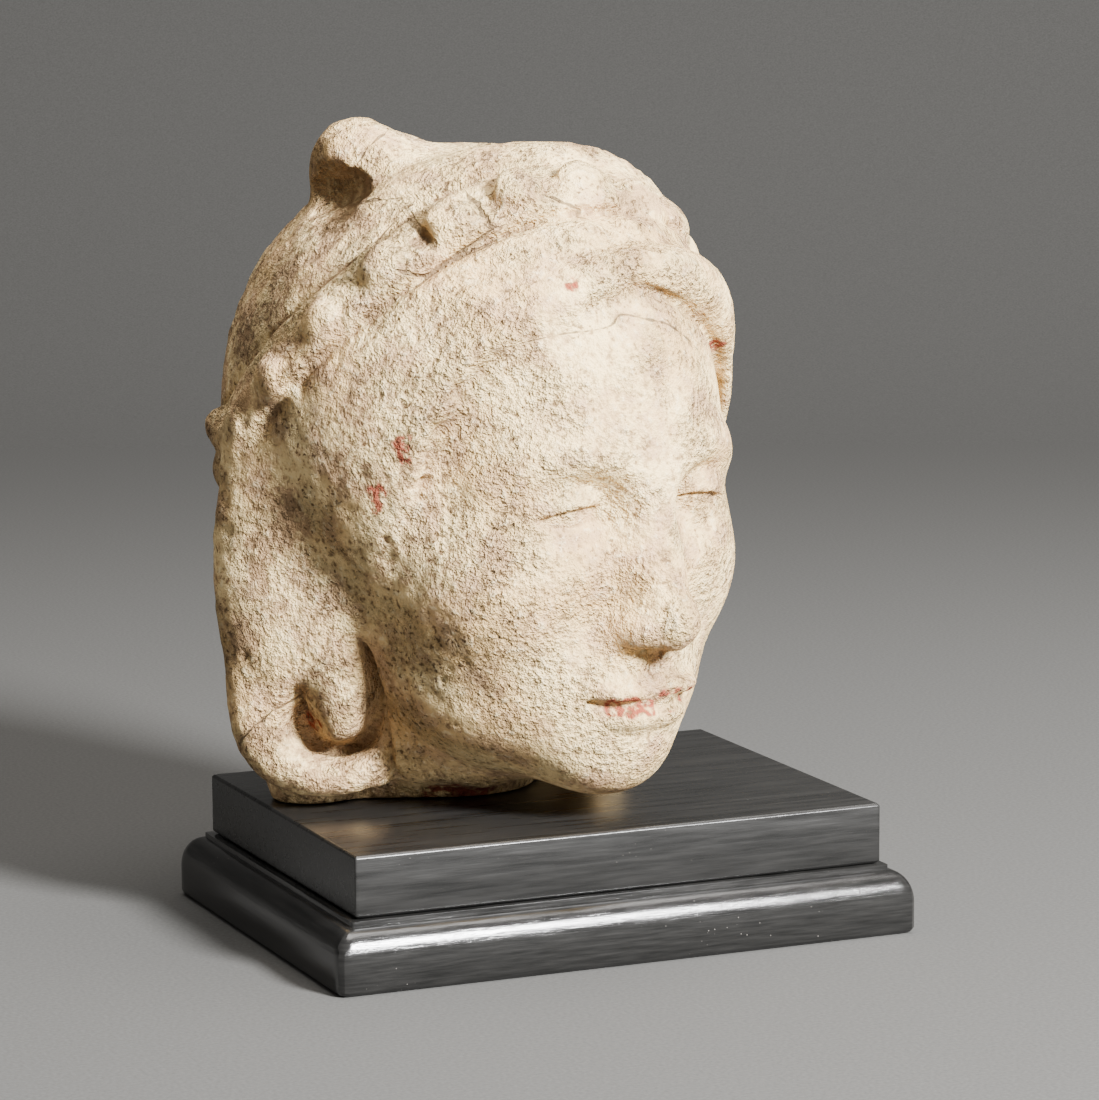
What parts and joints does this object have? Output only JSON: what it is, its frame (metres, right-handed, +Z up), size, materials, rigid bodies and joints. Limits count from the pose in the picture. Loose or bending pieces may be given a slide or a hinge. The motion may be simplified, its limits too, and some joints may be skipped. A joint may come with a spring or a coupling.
{
  "type": "stucco head sculpture on wooden plinth",
  "caption": "Stucco head with a beaded diadem and drawn-back hair, bowed on a black two-piece moulded plinth; stands by its own weight.",
  "frame": {"origin": "centre of the plinth's underside", "axes": "+Z up, +X along the plinth's long side to the viewer's right, -Y towards the viewer"},
  "size_m": [0.1814, 0.1595, 0.2316],
  "materials": {
    "stucco": "matt, worn and pitted warm ivory lime stucco with brown earth in the hollows",
    "black_wood": "satin black lacquer"
  },
  "bodies": {
    "root": {"head": "stucco", "plinth_block": "black_wood", "plinth_foot": "black_wood"}
  },
  "joints": []
}
